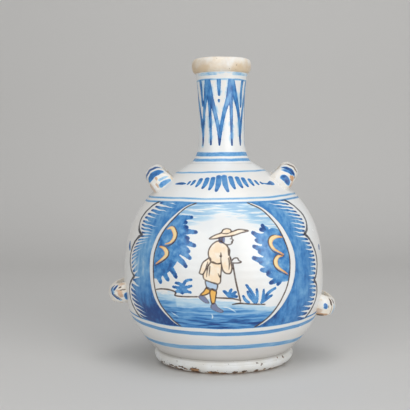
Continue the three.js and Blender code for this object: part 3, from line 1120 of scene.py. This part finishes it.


# Mouth roll: thick collar of clay, rubbed bare on its outer bulge, with painted shade on its lower half and
# sides

rollShape = {
    "low": 236.0,
    "lowRadius": 21.4,
    "radius": 24.3,
    "crest": 242.6,
    "high": 248.0,
    "highRadius": 20.5,
    "bore": 16.8,
    "underRise": 1.65,  # handle of the under side's curve above the joint
    "lipDepth": 3.4,  # from the top down to where the bore starts
    "heart": (20.5, 242.0),  # radius and height of the section's middle
    "uneven": 0.05,  # share by which the section shrinks at most
    "fitted": 4.0,  # up to this far above the joint the shrinking eases in
    "spacing": (0.55, 0.7),  # along the section and round the mouth
}


def addRoll(shape):
    # section of three Bezier arcs and the bore, shrunk towards its middle by a slow wave round the mouth
    joint = (shape["lowRadius"], shape["low"])
    outer = (shape["radius"], shape["crest"])
    top = (shape["highRadius"], shape["high"])
    inner = (shape["bore"], shape["high"] - shape["lipDepth"])
    under = bend(60, joint, (shape["radius"], shape["low"] + shape["underRise"]), outer)
    crown = bend(60, outer, (shape["radius"], shape["high"]), top)
    lip = bend(60, top, (shape["bore"], shape["high"]), inner)
    bore = bend(30, inner, (shape["bore"], shape["low"]))
    along, around = shape["spacing"]
    section = graded(joinLines(under, crown, lip, bore), along)
    angles = anglesRound(shape["radius"], around)
    radius, height = section[:, :1], section[:, 1:]
    wave = 0.5 + 0.3 * np.sin(2 * angles + 0.7) + 0.2 * np.sin(5 * angles + height / 3)
    shrink = shape["uneven"] * wave * smooth(shape["low"], shape["low"] + shape["fitted"], height)
    radius = radius + (shape["heart"][0] - radius) * shrink
    height = height + (shape["heart"][1] - height) * shrink
    return ringMesh("mouth_collar", turned(radius, height, angles), closedRows=True)


roll = addRoll(rollShape)


def rollGlaze():
    finish = Finish("mouth glaze")
    shade = glazeColours
    colour = drifting(finish, 12, "cream", "white")
    # rubbed clay in clouds is wear; its lean to the lower half, both sides and the left is painted shade
    low = (242.5 - finish.height).eased(-5, 5)
    aside = abs(finish.aside + 3).eased(6, 22)
    left = (0 - finish.aside).eased(4, 20)
    rub = finish.noise(8, 5) * 0.6 + 0.2 + low * (0.16 + aside * 0.14) + left * 0.08
    colour = finish.mix(rub.eased(0.45, 0.85), colour, shade["tan"])
    colour = finish.mix(finish.specks(5, 0.6, 0.25) * 0.8, colour, shade["clay dark"])
    return finish.close(colour, 0.3 + finish.noise(6, 3) * 0.25, finish.noise(3, 3), 0.3)


dress(roll, "mouth_roll", rollGlaze())
print("mouth roll made")


# Foot ring: standing ring, chipped to the clay along its lower edge

footShape = {
    "radius": 57.5,
    "lip": 7.6,  # height of the widest edge
    "stand": 50.5,
    "bore": 45.0,
    "boreEdge": 1.6,
    "waist": 55.2,
    "height": 11.0,
    "chips": [  # degrees round, height, half width, half height, depth and how much clay shows
        (-23.8, 2.9, 4.6, 2.5, 0.9, 1.0),
        (-8.6, 1.8, 6.0, 1.4, 0.6, 0.95),
        (0.5, 1.2, 2.4, 0.9, 0.5, 0.7),
        (9.6, 1.9, 2.8, 1.4, 0.5, 0.6),
        (17.0, 2.2, 2.4, 1.5, 0.5, 0.6),
        (28.0, 2.0, 2.2, 1.4, 0.6, 0.65),
        (35.5, 2.5, 1.4, 1.1, 0.6, 0.65),
        (42.0, 1.5, 2.2, 0.9, 0.5, 0.6),
        (50.0, 9.4, 0.5, 1.0, 0.4, 0.6),
        (57.5, 8.6, 1.3, 1.1, 0.5, 0.65),
        (62.0, 2.0, 2.4, 1.2, 0.5, 0.6),
        (140.0, 2.0, 5.0, 1.6, 0.8, 1.0),
        (-150.0, 1.6, 4.0, 1.4, 0.7, 0.7),
    ],
    "pits": [(-76, -32, 40), (96, 128, 14), (-176, -156, 10)],  # worn stretches: from, to and how many pits
    "pitLeast": (0.9, 0.6, 0.5),  # height, half width and half height
    "pitMost": (4.8, 2.1, 1.3),
    "pitDepth": 0.45,
    "pitClay": (0.45, 0.85),
    "seed": 11,
    "uneven": 0.3,  # deepest hollow round the edge
    "fitted": 8.0,  # above this height the hollows ease out towards the belly
    "spacing": (0.42, 1.6),  # along the section, outside and inside
    "columns": (0.6, 1.4),  # round the ring, in front and behind
    "front": 1.5,  # radians to either side
}


def footSection(shape):
    # round underside, widest edge, hollow up to the belly, then back down inside the bore
    widest = (shape["radius"], shape["lip"])
    under = bend(80, (shape["stand"], 0), (shape["radius"], shape["lip"] / 4), widest)
    waist = (shape["waist"], shape["height"])
    hollow = bend(60, widest, (shape["waist"], (shape["lip"] + shape["height"]) / 2), waist)
    outside, inside = shape["spacing"]
    front = graded(joinLines(under, hollow), outside)
    bore = shape["bore"]
    back = joinLines(
        bend(10, waist, (bore, shape["height"])),
        bend(10, (bore, shape["height"]), (bore, shape["boreEdge"])),
        bend(4, (bore, shape["boreEdge"]), (bore + shape["boreEdge"], 0)),
        bend(10, (bore + shape["boreEdge"], 0), (shape["stand"], 0)),
    )
    return joinLines(front, graded(back, inside))[:-1]


def footChips(shape):
    # the chips seen, and small pits strewn along the worn stretches
    lots = np.random.default_rng(shape["seed"])
    pits = []
    for start, end, count in shape["pits"]:
        for turn in np.linspace(start, end, count) + lots.uniform(-1, 1, count):
            level, wide, high = lots.uniform(shape["pitLeast"], shape["pitMost"])
            pits.append((turn, level, wide, high, shape["pitDepth"], lots.uniform(*shape["pitClay"])))
    return shape["chips"] + pits


def addFoot(shape):
    # section turned round the axis, less a slow wave and the chips: ovals with a ragged edge
    def spacing(angle):
        return np.where(np.abs(angle) < shape["front"], *shape["columns"])

    section = footSection(shape)
    angles = anglesRound(shape["radius"], spacing)
    height = section[:, 1:]
    outer = smooth(shape["stand"] - 1, shape["stand"] + 1.5, section[:, :1])
    wave = 0.5 + 0.3 * np.sin(3 * angles + 1) + 0.2 * np.sin(7 * angles)
    dent = shape["uneven"] * wave * outer * (1 - smooth(shape["fitted"], shape["height"], height))
    bare = 0 * (height + angles)
    for turn, level, halfWide, halfHigh, depth, clay in footChips(shape):
        away = np.angle(np.exp(1j * (angles - math.radians(turn)))) * shape["radius"]
        ragged = 1 + 0.2 * np.sin(away * 1.9 + turn) * np.sin(height * 2.3 + turn)
        ragged = ragged + 0.12 * np.sin(away * 4.7 + height * 3)
        spot = 1 - smooth(0.7, 1.0, np.hypot(away / halfWide, (height - level) / halfHigh) * ragged)
        dent = dent + depth * spot * outer
        bare = np.maximum(bare, spot * outer * clay)
    piece = ringMesh("foot_band", turned(section[:, :1] - dent, height, angles), closedRows=True)
    keepField(piece, "bareClay", bare, 0, 0.0)
    return piece


foot = addFoot(footShape)


def footGlaze():
    finish = Finish("foot glaze")
    shade = glazeColours
    colour = drifting(finish, 14, "foot", "white")
    creaseShade = (finish.height - 9.7).eased(-0.8, 0.8) * 0.7  # painted shade in the hollow under the belly
    colour = finish.mix(creaseShade, colour, shade["creaseShade"])
    # rubs and dark scuffs, most near the ground
    low = (2.2 - finish.height).eased(-2, 2)
    rub = (finish.noise(5, 4) + low * 0.25).eased(0.66, 0.8)
    colour = finish.mix(rub, colour, shade["tan"])
    scuff = (finish.noise(3, 3) + (1.8 - finish.height).eased(-1, 1.6) * 0.24).eased(0.66, 0.74)
    colour = finish.mix(scuff * 0.8, colour, shade["clay dark"])
    # chips: dark flakes where little clay shows, plain clay in the deep ones and on the underside
    bare = finish.field("bareClay") + (finish.noise(1.3, 2) - 0.5) * 0.3
    clay = finish.mix(finish.noise(2.5, 3).eased(0.42, 0.62), shade["clay"], shade["clay dark"])
    flake = finish.mix(finish.noise(1.8, 3).eased(0.28, 0.5), shade["clay"], shade["clay dark"])
    colour = finish.mix(bare.eased(0.3, 0.42), colour, flake)
    colour = finish.mix(bare.eased(0.72, 0.85), colour, clay)
    under = (0.4 - finish.height).eased(-0.3, 0.3)
    colour = finish.mix(under, colour, shade["clay"])
    return finish.close(colour, 0.25 + finish.noise(5, 3) * 0.3, finish.noise(3, 3), 0.25)


dress(foot, "foot_ring", footGlaze())
print("foot ring made")


# Cord loops: ribbed straps bent into arches, their feet sunk into the belly wall

loopShape = {
    "width": 17.0,
    "crown": 6.2,
    "lining": 1.3,
    "span": 52.0,
    "ribs": 3,
    "ribDepth": 0.35,
    "sweep": 113.0,  # degrees from the tip to a foot
    "stretch": 16.5,  # millimetres of strap for each radian of the sweep
    "widths": {"upper": (0.94, 0.9, 1.0), "lower": (0.84, 0.88, 0.94)},  # at the tip, half way and the foot
    "frontLift": {"upper": 0.0, "lower": 0.9},  # the front foot sits higher than the back one
    "loops": {  # side, height on the belly, reach, tilt and clay drawn up along the upper edge
        "upper_left_loop": (-1, 146.6, 16.9, 50.0, 2.2),
        "upper_right_loop": (1, 148.5, 16.9, 50.0, 1.4),
        "lower_left_loop": (-1, 57.4, 13.9, -4.0, 0.8),
        "lower_right_loop": (1, 46.6, 13.7, -8.0, 1.4),
    },
}


def addLoop(shape, node, side, height, reach, tilt, smear):
    # level arch x = a cos t, y = -b sin t; the ribbed section stands square to it, and the whole is tilted
    kind = node.split("_")[0]
    line = bellyLine(bellyShape)
    base = np.interp(height, line[:, 1], line[:, 0])
    sweep = math.radians(shape["sweep"])
    theta = np.linspace(-sweep, sweep, 72)[:, None]
    phi = np.linspace(0, 2 * math.pi, 64, endpoint=False)[None, :]
    a = reach - shape["crown"]
    b = shape["span"] / 2 - shape["crown"]
    across = np.cos(phi) + 0 * theta
    hump = np.sin(phi)
    groove = shape["ribDepth"] / 2 * (1 + np.cos(shape["ribs"] * math.pi * (across + 1)))
    swell = np.where(hump > 0, shape["crown"] * np.abs(hump) ** 0.95, shape["lining"] * hump)
    swell = swell - groove * np.clip(hump * 2, 0, 1)
    steep = np.hypot(b * np.cos(theta), a * np.sin(theta))
    outX = a * np.cos(theta) + swell * b * np.cos(theta) / steep
    outY = -b * np.sin(theta) - swell * a * np.sin(theta) / steep
    # width narrows behind the tip and spreads at the feet, most on the upper side
    tip, half, root = shape["widths"][kind]
    turn = np.degrees(np.abs(theta))
    share = half + (tip - half) * (1 - smooth(0, 45, turn)) + (root - half) * smooth(48, 106, turn)
    drawn = smear * (0.35 + 0.65 * smooth(8, 106, turn)) * np.clip(across, 0, 1)
    outZ = across * shape["width"] / 2 * share + drawn
    outZ = outZ + shape["frontLift"][kind] * smooth(10, 100, np.degrees(theta))
    lean = math.radians(tilt)
    x = side * (base + outX * math.cos(lean) - outZ * math.sin(lean))
    z = height + outX * math.sin(lean) + outZ * math.cos(lean)
    order = slice(None, None, -side)  # keeps the faces outward on both sides
    points = np.stack([x, outY, z], -1)[:, order]
    piece = ringMesh(node + "_strap", points, poles=(points[0].mean(0), points[-1].mean(0)))
    keepField(piece, "along", np.abs(theta) * shape["stretch"] + 0 * phi, 0, 0.0)
    spread = 1 + 0.4 * smooth(0, 10, -np.degrees(theta))  # the back foot's marks are narrower
    keepField(piece, "acrossStrap", (across * spread * shape["width"] / 2)[:, order], 0, 0.0)
    return piece


loopPaint = {  # for each loop: dabs of blue, bare rubs, dark marks of painted shade in its grooves and along its edges, and how creamy its glaze is
    # a patch is along from the tip, across, half length, half width, slant and strength
    "upper_left_loop": {
        "dabs": [(10.6, 0.3, 1.8, 7.6, 0.0, 1.0), (17.4, 0.4, 2.6, 7.0, 0.0, 0.84),
                 (26.8, 2.4, 1.5, 4.4, 0.0, 0.62), (23.6, 3.8, 0.8, 3.2, 0.0, 0.34)],
        "rubs": [(21.4, 0.2, 1.6, 0.9, 0.0, 0.8), (25.2, -2.6, 1.6, 0.9, 0.0, 0.7),
                 (23.0, -7.4, 4.0, 1.2, 0.0, 0.5)],
        "shadedGrooves": [(23.6, 5.4, 0.6, 1.8, 0.1, 0.7), (19.4, 6.2, 0.5, 1.4, 0.3, 0.6),
                    (16.4, -6.6, 0.7, 0.8, 0.0, 0.7)],
        "cream": 0.6,
    },
    "upper_right_loop": {
        "dabs": [(15.6, 0.8, 1.7, 6.4, 0.0, 0.95), (18.2, 1.4, 1.1, 4.4, 0.1, 0.8),
                 (23.6, -1.4, 1.9, 4.8, 0.0, 0.86)],
        "rubs": [(19.0, -4.4, 1.9, 2.4, 0.0, 0.95), (22.0, -7.4, 3.0, 1.0, 0.0, 0.5)],
        "shadedGrooves": [(9.6, 0.6, 1.3, 6.4, 0.0, 0.9), (15.6, -6.4, 0.8, 0.8, 0.0, 0.8),
                    (21.2, -4.4, 0.4, 1.4, 0.4, 0.7)],
        "cream": 0.6,
    },
    "lower_left_loop": {
        "dabs": [(19.2, -0.2, 1.0, 5.0, -0.9, 1.1), (15.6, 5.4, 1.2, 2.0, 0.3, 1.2),
                 (20.0, 5.2, 1.2, 2.0, 0.3, 1.2), (18.0, 3.2, 1.6, 3.0, -0.6, 0.34),
                 (28.4, -2.1, 1.3, 3.0, 0.0, 0.82)],
        "rubs": [(24.9, 0.4, 1.4, 3.2, -0.2, 0.75), (23.0, 7.4, 4.0, 0.9, 0.0, 0.4),
                 (22.8, 3.2, 1.4, 0.9, 0.0, 0.5)],
        "shadedGrooves": [(26.2, 3.4, 1.9, 0.5, 0.0, 0.75), (24.0, 5.4, 0.9, 0.6, 0.4, 1.0),
                    (20.0, 5.4, 0.9, 1.6, 0.3, 0.9), (15.6, 5.6, 0.8, 1.4, 0.3, 0.7),
                    (22.4, -2.0, 0.6, 3.0, -0.8, 0.9)],
        "cream": 0.9,
    },
    "lower_right_loop": {
        "dabs": [(24.0, 1.0, 1.3, 2.1, 0.0, 0.84), (14.4, -2.6, 0.9, 5.0, 0.15, 0.36),
                 (11.6, -2.0, 0.7, 5.0, 0.2, 0.42)],
        "rubs": [(24.0, -6.6, 5.0, 1.4, 0.0, 0.85), (27.8, -3.4, 2.4, 2.0, 0.0, 0.5)],
        "shadedGrooves": [(18.8, 4.6, 1.1, 2.6, 0.0, 1.0), (14.6, 5.4, 1.0, 1.8, 0.0, 1.0),
                    (14.0, -1.0, 0.8, 4.0, 0.2, 0.3), (22.0, 1.0, 0.4, 0.9, 0.0, 0.8),
                    (25.0, -7.4, 3.0, 0.9, 0.0, 0.9), (18.2, -2.0, 0.4, 4.4, 0.2, 0.7)],
        "cream": 1.0,
    },
}


def loopGlaze(node):
    finish = Finish(node + " glaze")
    shade = glazeColours
    marks = loopPaint[node]
    creamy = finish.noise(9, 3).eased(0.3, 0.6) * marks["cream"]
    colour = finish.mix(creamy, bareGlaze(finish), shade["cream"])
    rough = finish.noise(1.6, 2) - 0.5
    across = finish.field("acrossStrap") + rough
    along = finish.field("along") + rough - across * across * 0.03  # strokes bend with the strap's crown
    blotch = finish.noise(3, 3)
    worn = (finish.noise(5, 3) + (abs(across) - 6).eased(0, 3) * 0.14).eased(0.6, 0.8)
    colour = finish.mix(worn * 0.8, colour, shade["tan"])

    def patch(spot):
        # flat-sided oval: (along / half length) squared plus (across / half width) to the fourth, less 1
        place, aside, halfLong, halfWide, slant, _ = spot
        far = (along - place - (across - aside) * slant) / halfLong
        wide = (across - aside) / halfWide
        flat = wide * wide
        return (far * far + flat * flat - 1) * (halfLong / 2)

    for spot in marks["rubs"]:
        colour = finish.mix(patch(spot).covered(0.6) * spot[5], colour, shade["clay"])
    # painted shade: dark marks in the grooves and along the strap's edges
    for spot in marks["shadedGrooves"]:
        colour = finish.mix(patch(spot).covered(0.3) * spot[5], colour, shade["clay dark"])
    pigment = rough * 0
    for spot in marks["dabs"]:
        pigment = pigment.above(patch(spot).covered(0.45) * (spot[5] + (blotch - 0.5) * 0.7))
    colour = cobaltOver(finish, colour, pigment)
    return finish.close(colour, 0.2 + finish.noise(6, 3) * 0.2, glazeRelief(finish), 0.2)


for node, place in loopShape["loops"].items():
    strap = addLoop(loopShape, node, *place)
    dress(strap, node, loopGlaze(node))
print("four cord loops made")


# Studio: pale floor that curves up into a backdrop, soft lamps and an even world

studio = {
    "floor": tint("D6D5D3"),
    "floorSize": 2.4,
    "frontRun": 0.6,  # the floor runs on towards the camera
    "wallDistance": 0.9,
    "wallHeight": 1.6,
    "curve": 0.3,
    "aim": 0.12,  # height the lamps point at
    "world": 0.34,
    "lamps": [  # place, size, watts
        ((0.74, -1.0, 0.44), 0.8, 6.6),
        ((-0.6, -1.05, 0.5), 0.8, 3.6),
        ((0.1, -0.3, 1.3), 0.8, 4.4),
    ],
}


def addStudio(stage):
    half = stage["floorSize"] / 2
    wall = stage["wallDistance"]
    curve = stage["curve"]
    sweep = joinLines(
        bend(2, (-half - stage["frontRun"], 0), (wall - curve, 0)),
        bend(16, (wall - curve, 0), (wall, 0), (wall, curve)),
        bend(2, (wall, curve), (wall, stage["wallHeight"])),
    )
    points = np.stack([np.column_stack([np.full(len(sweep), x), sweep]) for x in (-half, half)], 1)
    index = np.arange(2 * len(sweep)).reshape(-1, 2)
    faces = np.stack([index[:-1, 0], index[:-1, 1], index[1:, 1], index[1:, 0]], 1).tolist()
    mesh = bpy.data.meshes.new("studio_floor")
    mesh.from_pydata(points.reshape(-1, 3).tolist(), [], faces)
    mesh.polygons.foreach_set("use_smooth", np.ones(len(faces), bool))
    ground = bpy.data.objects.new("studio_floor", mesh)
    bpy.context.scene.collection.objects.link(ground)
    material = bpy.data.materials.new("studio floor")
    material.use_nodes = True
    paint = material.node_tree.nodes["Principled BSDF"]
    paint.inputs["Base Color"].default_value = stage["floor"]
    paint.inputs["Roughness"].default_value = 0.8
    mesh.materials.append(material)
    for place, size, watts in stage["lamps"]:
        lamp = bpy.data.lights.new("lamp", "AREA")
        lamp.size = size
        lamp.energy = watts
        holder = bpy.data.objects.new("lamp", lamp)
        bpy.context.scene.collection.objects.link(holder)
        aim = Vector((0, 0, stage["aim"])) - Vector(place)
        holder.location = place
        holder.rotation_euler = aim.to_track_quat("-Z", "Y").to_euler()
    world = bpy.data.worlds.new("studio world")
    bpy.context.scene.world = world
    world.use_nodes = True
    sky = world.node_tree.nodes["Background"]
    sky.inputs["Color"].default_value = (1, 1, 1, 1)
    sky.inputs["Strength"].default_value = stage["world"]


addStudio(studio)
bpy.context.scene.view_settings.view_transform = "Standard"
print("studio lit")
